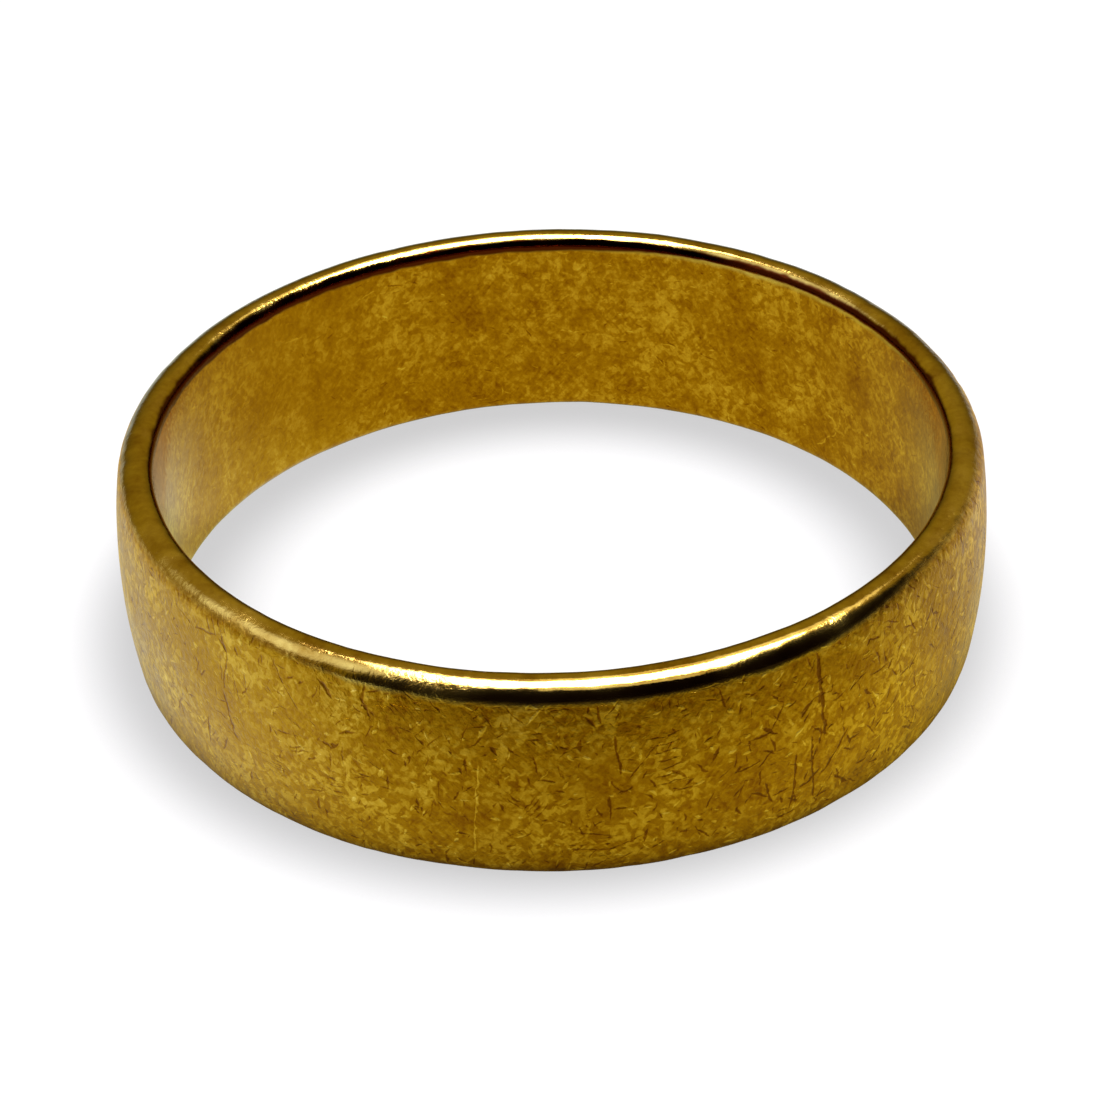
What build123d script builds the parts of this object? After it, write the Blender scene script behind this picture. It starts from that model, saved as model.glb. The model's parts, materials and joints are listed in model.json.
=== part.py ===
"""Plain gold wedding band, made as one seamless ring.

The band lies flat with its finger axis along +Z, and its origin is the centre of the finger bore.
The bore is a straight cylinder. The outer face is gently crowned from rim to rim. Each rim keeps
only a narrow flat land between its inner and outer edge rounding, as on a band worn smooth.
All sizes are in millimetres.
"""

import os

from build123d import *

# Driving dimensions
bore_diameter = 21.4  # the finger size: US 12, or ISO 67 by the bore's circumference
band_width = 6.0  # along the finger
wall_thickness = 1.2  # in the middle of the width, where the crown is highest
crown_height = 0.28  # how far the outer face falls from its middle to the section's sharp corner
outer_edge_radius = 0.6
inner_edge_radius = 0.38

# Worked out from the driving dimensions
bore_radius = bore_diameter / 2
crown_radius = bore_radius + wall_thickness
corner_radius = crown_radius - crown_height
half_width = band_width / 2


def band_section():
    """The section of the wall, with its four corners rounded, beside the finger axis."""
    with BuildSketch(Plane.XZ) as section:
        with BuildLine():
            Polyline(
                (corner_radius, -half_width),
                (bore_radius, -half_width),
                (bore_radius, half_width),
                (corner_radius, half_width),
            )
            ThreePointArc(
                (corner_radius, half_width), (crown_radius, 0), (corner_radius, -half_width)
            )
        make_face()
        fillet(section.vertices().group_by(Axis.X)[-1], outer_edge_radius)
        fillet(section.vertices().group_by(Axis.X)[0], inner_edge_radius)
    return section.sketch


def make_band():
    """The ring: the section turned once round the finger axis."""
    return revolve(band_section(), axis=Axis.Z)


os.makedirs("parts", exist_ok=True)
export_step(make_band(), "parts/band.step")
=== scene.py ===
"""A worn gold wedding band lying on a plain white floor, under soft studio light.

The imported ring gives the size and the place. Its plain solid is replaced by one finely divided mesh
of the same section, with the dents and scratches of long wear. Its gold is polished on the edges and
rubbed to a satin on the faces. Wear only ever goes inwards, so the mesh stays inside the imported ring's
box. Lengths are in metres, except where a name ends in _mm. An azimuth is an angle round the finger
axis, in degrees: 0 is nearest the camera, and 90 is on its right.
"""

import json
import math

import bpy
import numpy as np
from mathutils import Matrix, Vector


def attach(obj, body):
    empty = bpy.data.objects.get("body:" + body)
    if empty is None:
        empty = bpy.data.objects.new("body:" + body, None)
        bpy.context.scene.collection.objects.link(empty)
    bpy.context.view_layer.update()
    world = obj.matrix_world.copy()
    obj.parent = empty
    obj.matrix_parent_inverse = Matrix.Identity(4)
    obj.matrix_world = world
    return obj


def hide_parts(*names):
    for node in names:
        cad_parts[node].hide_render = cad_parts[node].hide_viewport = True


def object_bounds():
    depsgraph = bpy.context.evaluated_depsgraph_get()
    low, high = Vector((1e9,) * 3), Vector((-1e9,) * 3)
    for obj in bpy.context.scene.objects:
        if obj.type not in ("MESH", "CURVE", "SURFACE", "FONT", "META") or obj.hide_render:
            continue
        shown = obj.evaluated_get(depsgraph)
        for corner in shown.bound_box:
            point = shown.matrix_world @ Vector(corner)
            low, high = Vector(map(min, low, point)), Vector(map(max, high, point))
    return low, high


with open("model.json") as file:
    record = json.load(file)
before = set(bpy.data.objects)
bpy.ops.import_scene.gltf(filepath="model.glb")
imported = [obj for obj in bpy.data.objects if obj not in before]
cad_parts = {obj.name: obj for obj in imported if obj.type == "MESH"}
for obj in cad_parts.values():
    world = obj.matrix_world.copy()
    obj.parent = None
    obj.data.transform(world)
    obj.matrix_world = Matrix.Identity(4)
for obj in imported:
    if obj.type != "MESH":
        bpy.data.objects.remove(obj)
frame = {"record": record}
cad_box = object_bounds()

MM = 0.001
MICRON = 0.000001
SEED = 12

# The ring's section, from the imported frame, and the two driving dimensions that it doesn't hold
bore = next(mount for mount in frame["record"]["mounts"] if mount["name"] == "finger_bore")
bore_radius = bore["dims"]["r_mm"] * MM
crown_radius = cad_box[1].x
half_width = cad_box[1].z
inner_edge_radius = half_width - bore["dims"]["length_mm"] * MM / 2
outer_edge_radius = 0.6 * MM
crown_height = 0.28 * MM

# How finely the section is divided, and how many sections go round the ring
crown_rows = 58
outer_edge_rows = 12
land_rows = 1
inner_edge_rows = 10
bore_rows = 14
columns = 836

# Scratches that cross lie in separate layers. A vector attribute holds a group of three, and the last
# group is for bright scratches.
scratch_groups = 4
scratch_layers = 3 * scratch_groups
dark_layers = range(0, scratch_layers - 3)
bright_layers = range(scratch_layers - 3, scratch_layers)
NO_SCRATCH = -1.0


# ---------------------------------------------------------------- section


def arc(centre, radius, start, end, steps):
    """Points along an arc of the section, its last one left out, and the ways they face."""
    angle = np.linspace(start, end, steps, endpoint=False)
    facing = np.stack([np.cos(angle), np.sin(angle)], axis=1)
    return np.array(centre) + radius * facing, facing


def straight(start, end, facing, steps):
    """Points along a straight stretch of the section, its last one left out."""
    share = np.arange(steps)[:, None] / steps
    points = np.array(start) + share * (np.array(end) - np.array(start))
    return points, np.tile(facing, (steps, 1))


def ring_section():
    """The closed section as rows of (radius, height), from the foot of the outer face up and over.

    Each row also has the way it faces. The last value says how many rows the outer side takes.
    """
    corner_radius = crown_radius - crown_height
    crown_arc = (half_width**2 + crown_height**2) / (2 * crown_height)
    crown_centre = crown_radius - crown_arc
    edge_height = half_width - outer_edge_radius
    edge_reach = math.sqrt((crown_arc - outer_edge_radius) ** 2 - edge_height**2)
    edge_centre = crown_centre + edge_reach
    meeting = math.atan2(edge_height, edge_reach)
    inner_centre = bore_radius + inner_edge_radius
    inner_height = half_width - inner_edge_radius
    quarter = math.pi / 2
    outer_side = [
        arc((edge_centre, -edge_height), outer_edge_radius, -quarter, -meeting, outer_edge_rows),
        arc((crown_centre, 0), crown_arc, -meeting, meeting, crown_rows),
        arc((edge_centre, edge_height), outer_edge_radius, meeting, quarter, outer_edge_rows),
        straight((edge_centre, half_width), (inner_centre, half_width), (0, 1), land_rows),
    ]
    half_turn = 2 * quarter
    inner_side = [
        arc((inner_centre, inner_height), inner_edge_radius, quarter, half_turn, inner_edge_rows),
        straight((bore_radius, inner_height), (bore_radius, -inner_height), (-1, 0), bore_rows),
        arc((inner_centre, -inner_height), inner_edge_radius, half_turn, 3 * quarter, inner_edge_rows),
        straight((inner_centre, -half_width), (edge_centre, -half_width), (0, -1), land_rows),
    ]
    points = np.concatenate([stretch[0] for stretch in outer_side + inner_side])
    facing = np.concatenate([stretch[1] for stretch in outer_side + inner_side])
    return points, facing, sum(len(stretch[0]) for stretch in outer_side)


section, section_facing, outer_rows = ring_section()
rows = len(section)
steps = np.linalg.norm(np.roll(section, -1, axis=0) - section, axis=1)
perimeter = steps.sum()
along_section = np.concatenate([[0], np.cumsum(steps)])
turn = np.arange(columns) * 2 * math.pi / columns


class Face:
    """One side of the band, unrolled, so that wear can be placed on it in millimetres."""

    def __init__(self, face_rows, radius, upwards):
        middle = face_rows[np.argmin(np.abs(section[face_rows, 1]))]
        self.height_mm = np.full(rows, np.nan)
        self.height_mm[face_rows] = upwards * (along_section[face_rows] - along_section[middle]) / MM
        self.radius_mm = radius / MM
        self.half_mm = np.nanmax(self.height_mm)
        self.cell_mm = max(2 * math.pi * radius / columns, steps[face_rows].max()) / MM

    def window(self, azimuth, height, reach_round, reach_up):
        """The grid points within reach of a place, and how far round and up they are from it, in mm."""
        row = np.flatnonzero(np.abs(self.height_mm - height) < reach_up)
        span = math.ceil(reach_round / self.cell_mm) + 1
        column = round(azimuth / 360 * columns) + np.arange(-span, span + 1)
        round_mm = np.radians(column * 360 / columns - azimuth) * self.radius_mm
        return np.ix_(row, column % columns), round_mm[None, :], self.height_mm[row, None] - height


outer_face = Face(np.arange(outer_rows), crown_radius, 1)
inner_face = Face(np.arange(outer_rows, rows), bore_radius, -1)


# ---------------------------------------------------------------- wear


def waves(random, count, shortest_mm, longest_mm, height):
    """Gentle unevenness: waves that close both round the ring and round its section."""
    total = np.zeros((rows, columns))
    share = along_section[:rows, None] / perimeter
    for _ in range(count):
        length = math.exp(random.uniform(math.log(shortest_mm), math.log(longest_mm))) * MM
        heading = random.uniform(0, 2 * math.pi)
        times_round = round(2 * math.pi * crown_radius / length * math.cos(heading))
        times_over = round(perimeter / length * math.sin(heading))
        phase = random.uniform(0, 2 * math.pi)
        total += np.cos(times_round * turn + times_over * 2 * math.pi * share + phase)
    return height * total / math.sqrt(count / 2)


def dent(depth, face, azimuth, height, radius_mm, deepest):
    """Presses a round dent into the depths of the grid."""
    reach = 2.5 * radius_mm
    place, round_mm, up_mm = face.window(azimuth, height, reach, reach)
    depth[place] += deepest * np.exp(-(round_mm**2 + up_mm**2) / radius_mm**2)


def worn_depth(random):
    """How far each grid point has worn in from the plain section, never outwards."""
    rim_share = np.abs(section_facing[:, 1:]) ** 0.5
    ripples = waves(random, count=70, shortest_mm=0.6, longest_mm=3, height=2 * MICRON)
    swells = waves(random, count=40, shortest_mm=2.5, longest_mm=9, height=5 * MICRON)
    lift = rim_share * ripples + swells
    depth = lift.max() - lift
    rim = outer_face.half_mm - 0.5
    # small knocks on both rims
    for _ in range(260):
        side = random.choice([-1, 1])
        height = side * (rim + random.normal(0, 0.25))
        radius = random.uniform(0.09, 0.3)
        dent(depth, outer_face, random.uniform(0, 360), height, radius, random.uniform(2, 9) * MICRON)
    # wider and gentler dents on the outer face, then inside
    for _ in range(90):
        height = random.uniform(-rim, rim)
        radius = random.uniform(0.2, 0.8)
        dent(depth, outer_face, random.uniform(0, 360), height, radius, random.uniform(2, 8) * MICRON)
    for _ in range(60):
        height = random.uniform(-rim, rim)
        radius = random.uniform(0.2, 0.7)
        dent(depth, inner_face, random.uniform(0, 360), height, radius, random.uniform(1, 4) * MICRON)
    # the pitted stretch of the front rim
    for _ in range(40):
        place = (random.uniform(-22, -8), rim + random.normal(0, 0.12))
        dent(depth, outer_face, *place, random.uniform(0.07, 0.11), random.uniform(1, 3) * MICRON)
    return depth


def rim_scuffs(random):
    """Where the polished upper rim is broken by small knocks, from 0 to 1."""
    scuff = np.zeros((rows, columns))
    rim = outer_face.half_mm - 0.55
    half_height_mm = 0.45
    places = [(-15, 1.3, 1.0), (-31, 0.5, 0.4), (21, 0.5, 0.35)]
    for _ in range(26):
        places.append((random.uniform(35, 325), random.uniform(0.2, 0.8), random.uniform(0.2, 0.7)))
    for azimuth, radius_mm, strength in places:
        for face in (outer_face, inner_face):
            place, round_mm, up_mm = face.window(azimuth, rim, 2.5 * radius_mm, 1.2)
            fall = (round_mm / radius_mm) ** 2 + (up_mm / half_height_mm) ** 2
            scuff[place] += strength * np.exp(-fall)
    return np.minimum(scuff, 1)


class Scratches:
    """Scratches as distances on the grid's points, which keeps their grooves sharp between the points.

    A layer holds scratches that don't meet. side_mm is how far a point is to one side of the scratch,
    and reach_mm is half the groove's width there, which falls below zero past the scratch's ends.
    """

    def __init__(self):
        self.side_mm = np.zeros((scratch_layers, rows, columns), np.float32)
        self.reach_mm = np.full((scratch_layers, rows, columns), NO_SCRATCH, np.float32)

    def rule(self, face, start, end, half_mm, layers=dark_layers):
        """Rules a scratch from start to end, each an azimuth and a height in mm, in a free layer."""
        round_run = math.radians(end[0] - start[0]) * face.radius_mm
        vector = np.array([round_run, end[1] - start[1]])
        length = np.linalg.norm(vector)
        way = vector / length
        middle = (np.array(start) + np.array(end)) / 2
        reach = np.abs(vector) / 2 + half_mm + 2 * face.cell_mm
        place, round_mm, up_mm = face.window(*middle, *reach)
        inside = length / 2 - np.abs(round_mm * way[0] + up_mm * way[1])
        taper = min(0.3 * length, 0.25)
        for layer in layers:
            if (self.reach_mm[layer][place] == NO_SCRATCH).all():
                self.side_mm[layer][place] = round_mm * way[1] - up_mm * way[0]
                self.reach_mm[layer][place] = half_mm * np.minimum(1, inside / taper)
                return

    def chain(self, face, places, half_mm):
        """Rules one crooked scratch through several places."""
        for start, end in zip(places, places[1:]):
            self.rule(face, start, end, half_mm)

    def group(self, face, centre, lean, length_mm, half_mm, count=1, gap_mm=0.1, layers=dark_layers):
        """Rules parallel scratches about a centre. A lean of 0 is straight up, 90 is round the ring."""
        up_share = math.cos(math.radians(lean))
        round_share = math.sin(math.radians(lean))
        up = up_share * length_mm / 2
        swing = math.degrees(round_share * length_mm / 2 / face.radius_mm)
        for index in range(count):
            offset = (index - (count - 1) / 2) * gap_mm
            azimuth = centre[0] + math.degrees(offset * up_share / face.radius_mm)
            height = centre[1] - offset * round_share
            start = (azimuth - swing, height - up)
            end = (azimuth + swing, height + up)
            self.rule(face, start, end, half_mm, layers)


def rule_known_scratches(scratches):
    """The few scratches that stand out on the front of the outer face."""
    deep, middling, fine = 0.07, 0.05, 0.034
    crooked = [(-51, 2.1), (-46, 2.3), (-44, 2.0), (-45, 0.8), (-43.5, -0.6)]
    hook = [(23.5, -1.0), (26.5, -1.4), (29, -1.3)]
    scratches.chain(outer_face, crooked, middling)
    scratches.chain(outer_face, hook, middling)
    for start, end, half_mm in [
        ((-48.5, -0.3), (-49.5, -1.5), middling),
        ((-30, 2.5), (-27.5, 1.9), deep),
        ((-37, 2.6), (-32.5, 1.2), fine),
        ((-8, 1.4), (-7, 1.1), deep),
        ((3, 2.2), (4.5, 1.8), middling),
        ((6.5, 1.7), (7.5, 0.3), middling),
        ((12, 1.3), (8, 0.2), fine),
        ((0.5, -1.9), (7, -2.0), fine),
        ((33, 2.6), (34, -0.1), deep),
        ((30, -0.1), (29.5, -2.2), middling),
        ((32, 0.2), (33, -2.1), middling),
    ]:
        scratches.rule(outer_face, start, end, half_mm)
    scratches.rule(outer_face, (-9.5, 0.9), (-10.5, -2.2), fine, bright_layers)
    scratches.group(outer_face, (13, 0.7), 84, 0.9, fine, count=7, gap_mm=0.24)


def rule_random_scratches(scratches, random):
    """The many fine scratches of wear, over both faces and the polished rims."""

    def centre(face):
        edge = face.half_mm - 0.5
        return random.uniform(0, 360), random.uniform(-edge, edge)

    def stroke(face, lean, length_mm, half_mm, layers=dark_layers):
        scratches.group(face, centre(face), lean, length_mm, half_mm, layers=layers)

    # broad ones on the outer face, mostly upright
    for _ in range(150):
        lean = random.normal(10, 30)
        length = random.uniform(0.3, 1.0)
        stroke(outer_face, lean, length, random.uniform(0.035, 0.055))
    # more broad ones, in all directions, where the right of its front is worn most
    for _ in range(70):
        place = (random.normal(34, 9), random.uniform(-2.2, 2.2))
        length = random.uniform(0.3, 0.9)
        scratches.group(outer_face, place, random.uniform(0, 180), length, random.uniform(0.03, 0.055))
    # bundles of parallel ones
    for _ in range(80):
        lean = random.choice([0, 30, -40, 85]) + random.normal(0, 10)
        length = random.uniform(0.3, 1.0)
        half_mm = random.uniform(0.02, 0.034)
        gap = random.uniform(0.12, 0.22)
        count = random.integers(2, 6)
        scratches.group(outer_face, centre(outer_face), lean, length, half_mm, count, gap)
    # short fine ones in all directions, dark and then bright
    for _ in range(3000):
        length = 0.18 + random.exponential(0.2)
        stroke(outer_face, random.uniform(0, 180), length, random.uniform(0.018, 0.042))
    for _ in range(2600):
        length = 0.12 + random.exponential(0.14)
        half_mm = random.uniform(0.03, 0.06)
        stroke(outer_face, random.uniform(0, 180), length, half_mm, bright_layers)
    # the bore's, mostly round the ring, dark and then bright
    for _ in range(1500):
        length = 0.15 + random.exponential(0.2)
        stroke(inner_face, random.normal(80, 45), length, random.uniform(0.012, 0.028))
    for _ in range(1400):
        length = 0.12 + random.exponential(0.16)
        stroke(inner_face, random.normal(80, 50), length, random.uniform(0.014, 0.035), bright_layers)


# ---------------------------------------------------------------- mesh


def grid_corners():
    """Each cell's four corners as rows and columns that may run one past the grid's ends."""
    row, column = np.meshgrid(np.arange(rows), np.arange(columns), indexing="ij")
    corner_rows = np.stack([row, row, row + 1, row + 1], axis=2).reshape(-1, 4)
    corner_columns = np.stack([column, column + 1, column + 1, column], axis=2).reshape(-1, 4)
    return corner_rows, corner_columns


def unrolled(corner_rows, corner_columns):
    """Places on a square picture for the cells' corners: the ring's two halves, one above the other."""
    quarter, half = columns // 4, columns // 2
    cell_column = corner_columns.min(axis=1, keepdims=True)
    strip = (cell_column + quarter) // half % 2
    first = (cell_column + quarter) // half * half - quarter
    margin = 0.004
    across = (corner_columns - first) / half
    up = along_section[corner_rows] / perimeter
    u = margin + (1 - 2 * margin) * across
    v = (strip + margin + (1 - 2 * margin) * up) / 2
    return np.stack([u, v], axis=2).reshape(-1, 2)


def streaked(lean, along_mm, across_mm):
    """Points that stretch a texture along the scratches of one lean, without a seam round the ring."""
    radius = np.where(np.arange(rows) < outer_rows, crown_radius, bore_radius)[:, None]
    up = section[:, 1:]
    tilt = math.radians(lean)
    azimuth = turn - math.tan(tilt) * up / radius
    size = radius / (across_mm * MM * math.cos(tilt))
    height = np.broadcast_to(up / (along_mm * MM), azimuth.shape)
    return np.stack([size * np.sin(azimuth), -size * np.cos(azimuth), height], axis=2)


def add_attribute(mesh, name, values):
    """Keeps a number or a vector on each of the mesh's points."""
    kind, key = ("FLOAT_VECTOR", "vector") if values.ndim == 3 else ("FLOAT", "value")
    attribute = mesh.attributes.new(name, kind, "POINT")
    attribute.data.foreach_set(key, np.ascontiguousarray(values, np.float32).ravel())


def ring_mesh(name):
    """The band as a closed mesh of the section's rows by its columns, with its wear."""
    random = np.random.default_rng(SEED)
    depth = worn_depth(random)
    scuff = rim_scuffs(random)
    scratches = Scratches()
    rule_known_scratches(scratches)
    rule_random_scratches(scratches, random)
    radius = section[:, :1] - section_facing[:, :1] * depth
    height = section[:, 1:] - section_facing[:, 1:] * depth
    places = np.stack([radius * np.sin(turn), -radius * np.cos(turn), height], axis=2).reshape(-1, 3)
    corner_rows, corner_columns = grid_corners()
    corners = (corner_rows % rows) * columns + corner_columns % columns
    mesh = bpy.data.meshes.new(name)
    mesh.from_pydata(places.tolist(), [], corners.tolist())
    mesh.polygons.foreach_set("use_smooth", np.ones(len(corners), bool))
    layer = mesh.uv_layers.new(name="OFBake")
    layer.data.foreach_set("uv", unrolled(corner_rows, corner_columns).astype(np.float32).ravel())
    whole = np.ones((1, columns))
    add_attribute(mesh, "facing_up", section_facing[:, 1:] * whole)
    add_attribute(mesh, "inside", (np.arange(rows)[:, None] >= outer_rows) * whole)
    add_attribute(mesh, "scuff", scuff)
    add_attribute(mesh, "streaks_up", streaked(lean=4, along_mm=0.9, across_mm=0.16))
    add_attribute(mesh, "streaks_left", streaked(lean=-42, along_mm=0.7, across_mm=0.14))
    add_attribute(mesh, "streaks_right", streaked(lean=38, along_mm=0.7, across_mm=0.14))
    for group in range(scratch_groups):
        layers = slice(3 * group, 3 * group + 3)
        add_attribute(mesh, f"scratch_side_{group}", np.moveaxis(scratches.side_mm[layers], 0, 2))
        add_attribute(mesh, f"scratch_reach_{group}", np.moveaxis(scratches.reach_mm[layers], 0, 2))
    mesh.update()
    return mesh


# ---------------------------------------------------------------- nodes


class Nodes:
    """Adds nodes to one node tree. A socket given as an input is linked, and any other value is set."""

    def __init__(self, tree):
        self.tree = tree
        tree.nodes.clear()

    def add(self, kind, inputs=None, **settings):
        made = self.tree.nodes.new(kind)
        for name, value in settings.items():
            setattr(made, name, value)
        for name, value in (inputs or {}).items():
            if isinstance(value, bpy.types.NodeSocket):
                self.tree.links.new(value, made.inputs[name])
            else:
                made.inputs[name].default_value = value
        return made

    def math(self, operation, *values):
        return self.add("ShaderNodeMath", dict(enumerate(values)), operation=operation).outputs[0]

    def vector_math(self, operation, *values, output=0):
        made = self.add("ShaderNodeVectorMath", dict(enumerate(values)), operation=operation)
        return made.outputs[output]

    def attribute(self, name, output="Fac"):
        return self.add("ShaderNodeAttribute", attribute_name=name).outputs[output]

    def noise(self, place, scale, detail=2.0, roughness=0.5, distortion=0.0):
        """Cloudy noise about 0, mostly within 0.3 of it. Its clouds are about 1 / scale wide."""
        inputs = {
            "Vector": place,
            "Scale": scale,
            "Detail": detail,
            "Roughness": roughness,
            "Distortion": distortion,
        }
        return self.math("SUBTRACT", self.add("ShaderNodeTexNoise", inputs).outputs[0], 0.5)

    def blend(self, share, first, second, way="MIX"):
        """A colour between first and second."""
        inputs = {0: share, 6: first, 7: second}
        return self.add("ShaderNodeMix", inputs, data_type="RGBA", blend_type=way).outputs[2]

    def ramp(self, value, start, end, low=0.0, high=1.0):
        """Runs smoothly from low to high as value goes from start to end."""
        inputs = {0: value, 1: start, 2: end, 3: low, 4: high}
        made = self.add("ShaderNodeMapRange", inputs, interpolation_type="SMOOTHSTEP")
        return made.outputs[0]

    def colour_ramp(self, value, stops):
        """A colour read off a list of (position, colour)."""
        made = self.add("ShaderNodeValToRGB", {0: value})
        elements = made.color_ramp.elements
        while len(elements) < len(stops):
            elements.new(0.5)
        for element, (position, colour) in zip(elements, stops):
            element.position = position
            element.color = (*colour, 1)
        return made.outputs[0]

    def total(self, *terms):
        """The sum of (value, weight) pairs."""
        result = 0.0
        for value, weight in terms:
            result = self.math("MULTIPLY_ADD", value, weight, result)
        return result


# ---------------------------------------------------------------- gold


def scratch_depth_mm(nodes, place, groups):
    """How deep the uneven grooves of these groups of scratches are: half as deep as they are wide."""
    wobble = nodes.math("MULTIPLY", nodes.noise(place, 2600, detail=2, roughness=0.6), 0.22)
    swell = nodes.math("MULTIPLY", nodes.noise(place, 5200, detail=1), 0.07)
    depth = 0.0
    for group in groups:
        side = nodes.vector_math("ADD", nodes.attribute(f"scratch_side_{group}", "Vector"), wobble)
        reach = nodes.vector_math("ADD", nodes.attribute(f"scratch_reach_{group}", "Vector"), swell)
        within = nodes.vector_math("SUBTRACT", reach, nodes.vector_math("ABSOLUTE", side))
        grooves = nodes.vector_math("MAXIMUM", within, (0, 0, 0))
        layer_sum = nodes.vector_math("DOT_PRODUCT", grooves, (1, 1, 1), output="Value")
        depth = nodes.math("ADD", depth, layer_sum)
    return depth


def broken_streaks(nodes, place):
    """Fine streaks of rubbing in three directions, each in its own patches."""
    parts = []
    for name, shift in (("streaks_up", 0.0), ("streaks_left", 0.05), ("streaks_right", 0.1)):
        moved = nodes.vector_math("ADD", place, (shift, shift, shift))
        share = nodes.ramp(nodes.noise(moved, 900, detail=1), -0.06, 0.1)
        streak = nodes.noise(nodes.attribute(name, "Vector"), 1, detail=2, roughness=0.6)
        parts.append((nodes.math("MULTIPLY", streak, share), 1.0))
    return nodes.total(*parts)


class Wear:
    """The patterns and masks that the gold's colour, roughness and relief share."""

    def __init__(self, nodes):
        # where a point is and how it is seen: facing_away is 0 towards the eye and 1 at the outline
        place = nodes.add("ShaderNodeTexCoord").outputs["Object"]
        parts = nodes.add("ShaderNodeSeparateXYZ", {0: place})
        self.across = parts.outputs[0]
        self.inside = nodes.attribute("inside")
        self.scuff = nodes.attribute("scuff")
        self.facing_away = nodes.add("ShaderNodeLayerWeight", {"Blend": 0.5}).outputs["Facing"]
        # mottling
        self.grain = nodes.noise(place, 6500, detail=3, roughness=0.6, distortion=0.3)
        self.blotches = nodes.noise(place, 1500, detail=2, roughness=0.55)
        self.patches = nodes.noise(place, 420, detail=2)
        swirls = nodes.noise(place, 4000, detail=2, roughness=0.5, distortion=0.7)
        self.curls = nodes.ramp(swirls, -0.05, 0.07, low=-0.5, high=0.5)
        # lines: streaks of rubbing, then the depths in mm of the dark and the bright scratches
        self.streaks = broken_streaks(nodes, place)
        self.scratches = scratch_depth_mm(nodes, place, range(scratch_groups - 1))
        self.burnish = scratch_depth_mm(nodes, place, [scratch_groups - 1])
        self.dark_lines = nodes.ramp(self.scratches, 0.0, 0.04)
        # masks from 0 to 1, and the height that gives them ragged borders
        self.left = nodes.ramp(self.across, -3 * MM, -8 * MM)
        self.right = nodes.ramp(self.across, 5.5 * MM, 10 * MM)
        self.sides = nodes.math("MAXIMUM", self.left, self.right)
        self.ragged_height = nodes.total((parts.outputs[2], 1.0), (self.blotches, 0.15 * MM))
        self.polish = self.polish_mask(nodes)
        self.glancing = nodes.math("MULTIPLY", self.inside, nodes.ramp(self.facing_away, 0.55, 0.85))
        self.rough = nodes.math(
            "MULTIPLY",
            nodes.math("SUBTRACT", 1.0, self.polish),
            nodes.total((self.inside, -0.75), (self.glancing, -0.22), (1.0, 1.0)),
        )

    def polish_mask(self, nodes):
        """1 on the polished edges, whose upper border is ragged and climbs at the sides of the ring."""
        outside = nodes.math("SUBTRACT", 1.0, self.inside)
        climb = nodes.total((self.left, 0.26 * MM), (self.right, 0.34 * MM))
        rise = nodes.math("MULTIPLY", outside, climb)
        start = nodes.total((self.inside, 0.08 * MM), (1.0, 2.4 * MM))
        upper = nodes.ramp(nodes.math("SUBTRACT", self.ragged_height, rise), start, 2.62 * MM)
        lower = nodes.ramp(nodes.attribute("facing_up"), -0.6, -0.78)
        return nodes.math("MAXIMUM", upper, lower)

    def painted_dark_reflection_mask(self, nodes):
        """1 on the painted dark reflection, a line that follows the upper inner edge and is thinner on
        the right.
        """
        # painted dark reflection: the line is narrower towards the right
        narrower_right = nodes.ramp(self.across, 0.0, 5 * MM)
        start = nodes.total((narrower_right, 0.13 * MM), (1.0, 2.48 * MM))
        above = nodes.ramp(nodes.math("SUBTRACT", self.ragged_height, start), 0.0, 0.1 * MM)
        below = nodes.ramp(self.ragged_height, 2.83 * MM, 2.92 * MM, low=1.0, high=0.0)
        return nodes.math("MULTIPLY", self.inside, nodes.math("MULTIPLY", above, below))


def satin_colour(nodes, wear):
    """Mottled gold from dark brown to straw, crossed by dark and bright lines, and painted lighter on
    the bore.
    """
    busy = nodes.ramp(wear.patches, -0.15, 0.15, low=0.5, high=1.4)
    curl_weight = nodes.total((wear.inside, -0.04), (1.0, 0.16))
    blotch_weight = nodes.total((wear.inside, 0.1), (1.0, 0.4))
    variation = nodes.total(
        (wear.grain, 0.5),
        (nodes.math("MULTIPLY", wear.curls, busy), curl_weight),
        (wear.blotches, blotch_weight),
        (wear.patches, 0.45),
        (wear.streaks, 0.25),
        (wear.dark_lines, -0.36),
        (nodes.ramp(wear.burnish, 0.0, 0.025), 0.25),
    )
    contrast = nodes.total((wear.left, -0.4), (wear.right, -0.1), (wear.inside, -0.05), (1.0, 1.0))
    tone = nodes.math("MULTIPLY_ADD", variation, contrast, 0.51)
    colour = nodes.colour_ramp(
        tone,
        [
            (0.08, (0.19, 0.06, 0.001)),
            (0.28, (0.30, 0.11, 0.001)),
            (0.5, (0.50, 0.24, 0.005)),
            (0.72, (0.78, 0.46, 0.05)),
            (0.95, (1.0, 0.68, 0.17)),
        ],
    )
    # painted light: the bore's gold is made lighter, standing in for the light the inside catches
    painted_bore_light = nodes.blend(1.0, colour, (1.22, 1.2, 1.1, 1), "MULTIPLY")
    return nodes.blend(wear.inside, colour, painted_bore_light)


def polished_colour(nodes, wear):
    """Deeper gold, with a painted dark reflection where it turns away from the eye."""
    tone = nodes.total(
        (wear.grain, 0.35),
        (wear.blotches, 0.7),
        (wear.patches, 0.6),
        (wear.dark_lines, -0.1),
        (1.0, 0.5),
    )
    colour = nodes.colour_ramp(tone, [(0.25, (0.52, 0.29, 0.04)), (0.65, (0.88, 0.61, 0.14))])
    # painted dark reflection: the edge's gold goes dark along the outline, where it turns away from the
    # eye
    outline = nodes.ramp(wear.facing_away, 0.42, 0.75)
    return nodes.blend(outline, colour, (0.10, 0.045, 0.01, 1))


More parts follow.
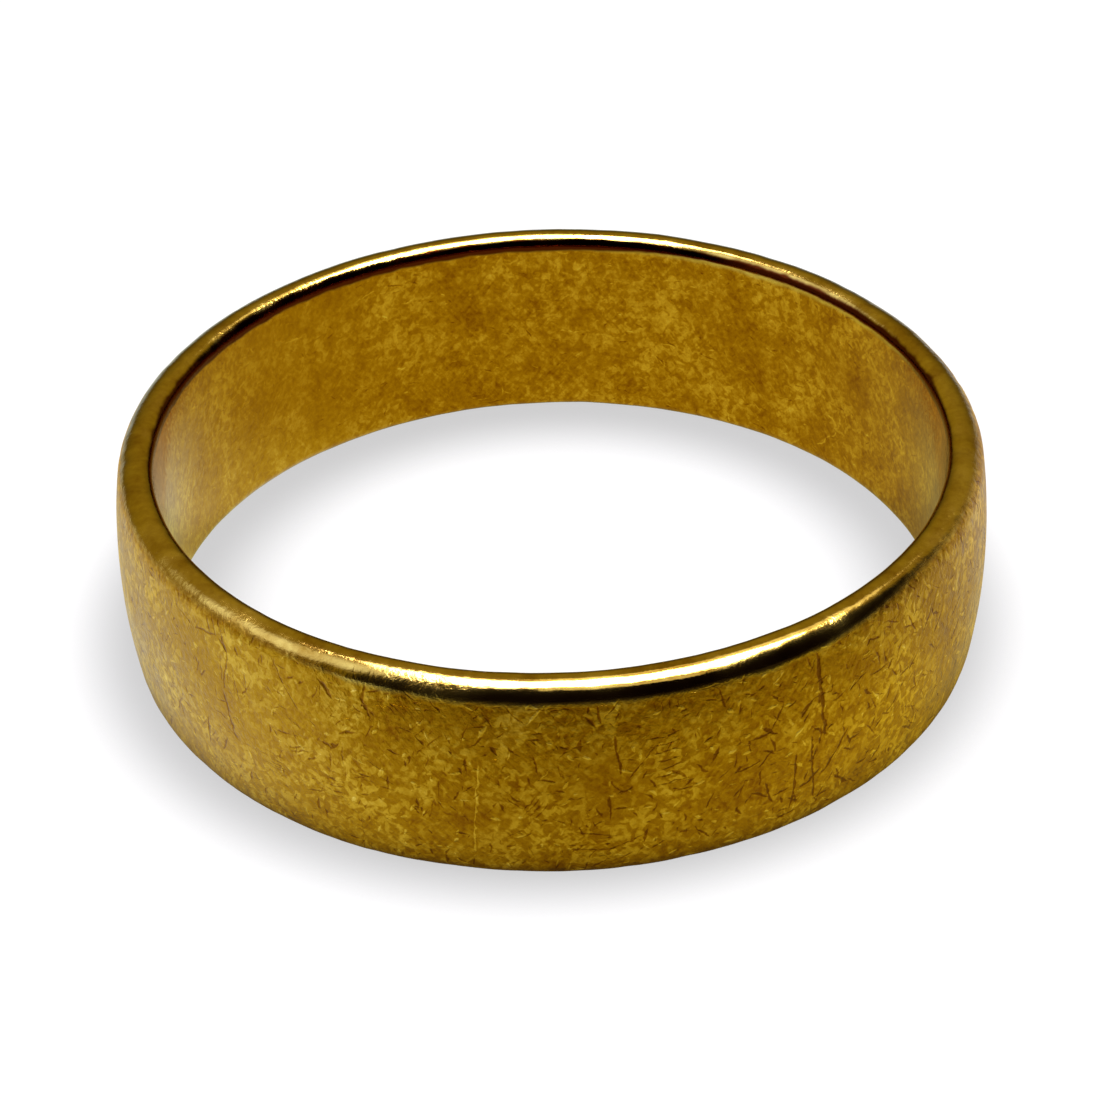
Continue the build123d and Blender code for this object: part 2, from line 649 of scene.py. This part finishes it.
def gold_roughness(nodes, wear):
    """Satin on the faces, smoother inside, and smoothest on the edges and on the bore seen aslant."""
    steady = nodes.math("SUBTRACT", 1.0, wear.glancing)
    uneven = nodes.math("MULTIPLY", nodes.total((wear.blotches, 0.3), (wear.grain, 0.2)), steady)
    satin = nodes.total((uneven, 1.0), (wear.inside, -0.26), (wear.glancing, -0.14), (1.0, 0.44))
    polished = nodes.total((wear.patches, 0.15), (wear.scuff, 0.12), (wear.sides, 0.03), (1.0, 0.11))
    return nodes.add("ShaderNodeMix", {0: wear.polish, 2: satin, 3: polished}).outputs[0]


def gold_relief(nodes, wear):
    """The height of the finest wear, which is too small for the mesh."""
    grain = nodes.total(
        (wear.rough, 22 * MICRON),
        (wear.scuff, 20 * MICRON),
        (wear.sides, 4 * MICRON),
        (1.0, 2.5 * MICRON),
    )
    blotch = nodes.total((wear.rough, 26 * MICRON), (wear.scuff, 12 * MICRON), (1.0, 3 * MICRON))
    groove = nodes.total((wear.rough, -0.17 * MM), (1.0, -0.03 * MM))
    return nodes.total(
        (wear.grain, grain),
        (wear.streaks, nodes.math("MULTIPLY", wear.rough, 12 * MICRON)),
        (wear.blotches, blotch),
        (wear.scratches, groove),
        (wear.burnish, nodes.math("MULTIPLY", wear.rough, 0.2 * MM)),
    )


def gold_material():
    """Yellow gold: rubbed, scratched and mottled on its faces, and polished by wear on its edges."""
    material = bpy.data.materials.new("worn_gold")
    material.use_nodes = True
    nodes = Nodes(material.node_tree)
    wear = Wear(nodes)
    colour = nodes.blend(wear.polish, satin_colour(nodes, wear), polished_colour(nodes, wear))
    # painted dark reflection: a dark red-brown line along the upper inner edge, painted into the gold's
    # colour
    colour = nodes.blend(wear.painted_dark_reflection_mask(nodes), colour, (0.12, 0.022, 0.004, 1))
    roughness = gold_roughness(nodes, wear)
    relief = gold_relief(nodes, wear)
    bump = nodes.add("ShaderNodeBump", {"Strength": 1.0, "Distance": 1.0, "Height": relief})
    shader = nodes.add(
        "ShaderNodeBsdfPrincipled",
        {"Base Color": colour, "Metallic": 1.0, "Roughness": roughness, "Normal": bump.outputs[0]},
    )
    nodes.add("ShaderNodeOutputMaterial", {"Surface": shader.outputs[0]})
    return material


# ---------------------------------------------------------------- studio


def direction(azimuth, elevation):
    """The unit vector that points out to an azimuth and elevation, in degrees."""
    turned, raised = math.radians(azimuth), math.radians(elevation)
    level = math.cos(raised)
    return Vector((math.sin(turned) * level, -math.cos(turned) * level, math.sin(raised)))


def studio_world():
    """The dim room that the metal reflects: bright on the left, and dark in front and on the right."""
    world = bpy.data.worlds.new("studio")
    bpy.context.scene.world = world
    world.use_nodes = True
    nodes = Nodes(world.node_tree)
    way = nodes.add("ShaderNodeTexCoord").outputs["Generated"]

    def patch(azimuth, elevation, inner, outer):
        """1 within inner degrees of a direction, falling to 0 at outer degrees."""
        closeness = nodes.vector_math("DOT_PRODUCT", way, direction(azimuth, elevation), output="Value")
        return nodes.ramp(closeness, math.cos(math.radians(outer)), math.cos(math.radians(inner)))

    window = patch(-90, 47, inner=4, outer=27)
    colour = nodes.blend(window, (0.25, 0.19, 0.02, 1), (1.0, 1.1, 1.45, 1))
    dark = nodes.math("MAXIMUM", patch(22, 50, inner=38, outer=46), patch(5, 14, inner=52, outer=64))
    dark = nodes.math("MAXIMUM", dark, patch(72, 22, inner=36, outer=52))
    colour = nodes.blend(dark, colour, (0.003, 0.001, 0.001, 1))
    seen = nodes.add("ShaderNodeLightPath").outputs["Is Camera Ray"]
    colour = nodes.blend(seen, colour, (1, 1, 1, 1))
    background = nodes.add("ShaderNodeBackground", {"Color": colour, "Strength": 1.0})
    nodes.add("ShaderNodeOutputWorld", {"Surface": background.outputs[0]})


def panel(name, way, distance, size_x, size_y, radiance):
    """A soft rectangular light that faces the ring."""
    data = bpy.data.lights.new(name, "AREA")
    data.shape = "RECTANGLE"
    data.size = size_x
    data.size_y = size_y
    data.energy = radiance * math.pi * size_x * size_y
    light = bpy.data.objects.new(name, data)
    light.location = way * distance
    light.rotation_mode = "QUATERNION"
    light.rotation_quaternion = way.to_track_quat("Z", "Y")
    bpy.context.scene.collection.objects.link(light)
    return light


def table_light(nodes):
    """How bright the metal sees the floor: brightest on the left, and dark far in front."""
    place = nodes.add("ShaderNodeTexCoord").outputs["Object"]
    parts = nodes.add("ShaderNodeSeparateXYZ", {0: place})
    across, back = parts.outputs[0], parts.outputs[1]
    azimuth = nodes.math("ARCTAN2", across, nodes.math("MULTIPLY", back, -1.0))
    # 0 and 1 are at the back, 0.25 on the left, 0.5 in front and 0.75 on the right
    share = nodes.math("MULTIPLY_ADD", azimuth, 0.5 / math.pi, 0.5)
    outside = nodes.colour_ramp(
        share,
        [
            (0.00, (0.66, 0.68, 0.50)),
            (0.14, (0.84, 0.92, 0.74)),
            (0.30, (0.94, 1.17, 1.22)),
            (0.36, (0.96, 1.16, 1.24)),
            (0.42, (0.70, 0.76, 0.36)),
            (0.50, (0.47, 0.46, 0.10)),
            (0.58, (0.62, 0.63, 0.15)),
            (0.66, (0.74, 0.75, 0.12)),
            (0.74, (0.77, 0.85, 0.62)),
            (0.80, (0.82, 0.91, 0.95)),
            (1.00, (0.66, 0.68, 0.50)),
        ],
    )
    radius = nodes.vector_math("LENGTH", place, output="Value")
    outer_contact = crown_radius - outer_edge_radius
    shaded = nodes.ramp(radius, outer_contact, outer_contact + 1.5 * MM)
    outside = nodes.blend(shaded, (0.10, 0.08, 0.03, 1), outside)
    left = nodes.ramp(across, -9 * MM, -3 * MM, low=1.0, high=0.0)
    inside = nodes.blend(left, (0.47, 0.45, 0.15, 1), (0.66, 0.75, 0.64, 1))
    far_left = nodes.ramp(across, -8.6 * MM, -9.8 * MM)
    inside = nodes.blend(far_left, inside, (0.5, 0.54, 0.28, 1))
    far_right = nodes.ramp(across, 8.4 * MM, 9.8 * MM)
    inside = nodes.blend(far_right, inside, (0.33, 0.31, 0.12, 1))
    colour = nodes.blend(nodes.ramp(radius, bore_radius, outer_contact), inside, outside)
    far = nodes.ramp(radius, 18 * MM, 36 * MM)
    from_front = nodes.math("ABSOLUTE", nodes.math("SUBTRACT", azimuth, 0.35))
    front = nodes.ramp(from_front, 0.8, 1.3, low=1.0, high=0.0)
    return nodes.blend(nodes.math("MULTIPLY", far, front), colour, (0.02, 0.015, 0.01, 1))


def floor():
    """A white floor that the ring lies on, with a shadow painted round the ring's foot, which the metal
    sees as a dimmer, unevenly lit table.
    """
    half = 1.5
    contact_shade = 0.6
    mesh = bpy.data.meshes.new("floor")
    corners = [(-half, -half, 0), (half, -half, 0), (half, half, 0), (-half, half, 0)]
    mesh.from_pydata(corners, [], [(0, 1, 2, 3)])
    sheet = bpy.data.objects.new("floor", mesh)
    sheet.location.z = cad_box[0].z
    bpy.context.scene.collection.objects.link(sheet)
    material = bpy.data.materials.new("white_floor")
    material.use_nodes = True
    nodes = Nodes(material.node_tree)
    place = nodes.add("ShaderNodeTexCoord").outputs["Object"]
    radius = nodes.vector_math("LENGTH", place, output="Value")
    # painted shadow: the floor's grey darkens round the ring's foot, inside and out
    shade_centre = (-0.25 * MM, 0.32 * MM, 0)
    shade_radius = nodes.vector_math("DISTANCE", place, shade_centre, output="Value")
    shade_start = crown_radius - outer_edge_radius
    outside = nodes.ramp(shade_radius, shade_start, crown_radius + 2.1 * MM, low=contact_shade)
    inside = nodes.ramp(radius, bore_radius - 3.4 * MM, bore_radius, low=1.0, high=contact_shade)
    within = nodes.math("LESS_THAN", radius, bore_radius + inner_edge_radius)
    shade = nodes.add("ShaderNodeMix", {0: within, 2: outside, 3: inside}).outputs[0]
    grey = nodes.blend(shade, (0, 0, 0, 1), (0.598, 0.6, 0.622, 1))
    matt = nodes.add("ShaderNodeBsdfDiffuse", {"Color": grey})
    strength = nodes.ramp(radius, 60 * MM, 200 * MM, low=0.9, high=1.7)
    glow = nodes.add("ShaderNodeEmission", {"Color": grey, "Strength": strength})
    both = nodes.add("ShaderNodeAddShader", {0: matt.outputs[0], 1: glow.outputs[0]})
    table = nodes.add("ShaderNodeEmission", {"Color": table_light(nodes), "Strength": 1.0})
    reflected = nodes.add("ShaderNodeLightPath").outputs["Is Glossy Ray"]
    either = nodes.add("ShaderNodeMixShader", {0: reflected, 1: both.outputs[0], 2: table.outputs[0]})
    nodes.add("ShaderNodeOutputMaterial", {"Surface": either.outputs[0]})
    mesh.materials.append(material)


def make_camera():
    """A long lens close to the ring, looking down at it."""
    elevation = 34.01
    distance = 6.937 * crown_radius
    aim_right = -0.053
    aim_up = -0.573
    roll = -1.622
    data = bpy.data.cameras.new("camera")
    data.sensor_width = 36.0
    data.lens = 97.8
    data.clip_start = 0.005
    data.clip_end = 10.0
    camera = bpy.data.objects.new("camera", data)
    away = direction(0, elevation)
    camera.location = away * distance
    look = away.to_track_quat("Z", "Y").to_matrix()
    turned = Matrix.Rotation(math.radians(-aim_right), 3, "Y")
    tilted = Matrix.Rotation(math.radians(aim_up), 3, "X")
    rolled = Matrix.Rotation(math.radians(roll), 3, "Z")
    camera.rotation_mode = "QUATERNION"
    camera.rotation_quaternion = (look @ turned @ tilted @ rolled).to_quaternion()
    bpy.context.scene.collection.objects.link(camera)
    bpy.context.scene.camera = camera


# ---------------------------------------------------------------- the scene

bpy.context.scene.view_settings.view_transform = "Standard"
make_camera()
studio_world()

# What the metal reflects from above: a bright panel, slid left from where it would face the ring, a
# faint wide one behind it, and a dimmer one on its left
ceiling_panel = panel(
    "ceiling_panel", direction(90, 74), distance=0.312, size_x=0.17, size_y=0.222, radiance=23.5
)
ceiling_panel.location.x = 0.032
ceiling_glow = panel(
    "ceiling_glow", direction(90, 75), distance=0.33, size_x=0.42, size_y=0.2, radiance=0.9
)
panel_edge = panel(
    "panel_edge", direction(-90, 78), distance=0.31, size_x=0.25, size_y=0.08, radiance=6.0
)
panel_edge.data.color = (0.85, 0.8, 1.0)
for light in (ceiling_panel, ceiling_glow, panel_edge):
    light.visible_diffuse = False

# What lights the floor
fill_panel = panel(
    "fill_panel", direction(0, 90), distance=0.12, size_x=0.35, size_y=0.35, radiance=1.0
)
fill_panel.visible_glossy = False
floor()

band_mesh = ring_mesh("worn_band")
band_mesh.materials.append(gold_material())
band = bpy.data.objects.new("worn_band", band_mesh)
bpy.context.scene.collection.objects.link(band)
band.visible_diffuse = False
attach(band, "root")
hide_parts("band")
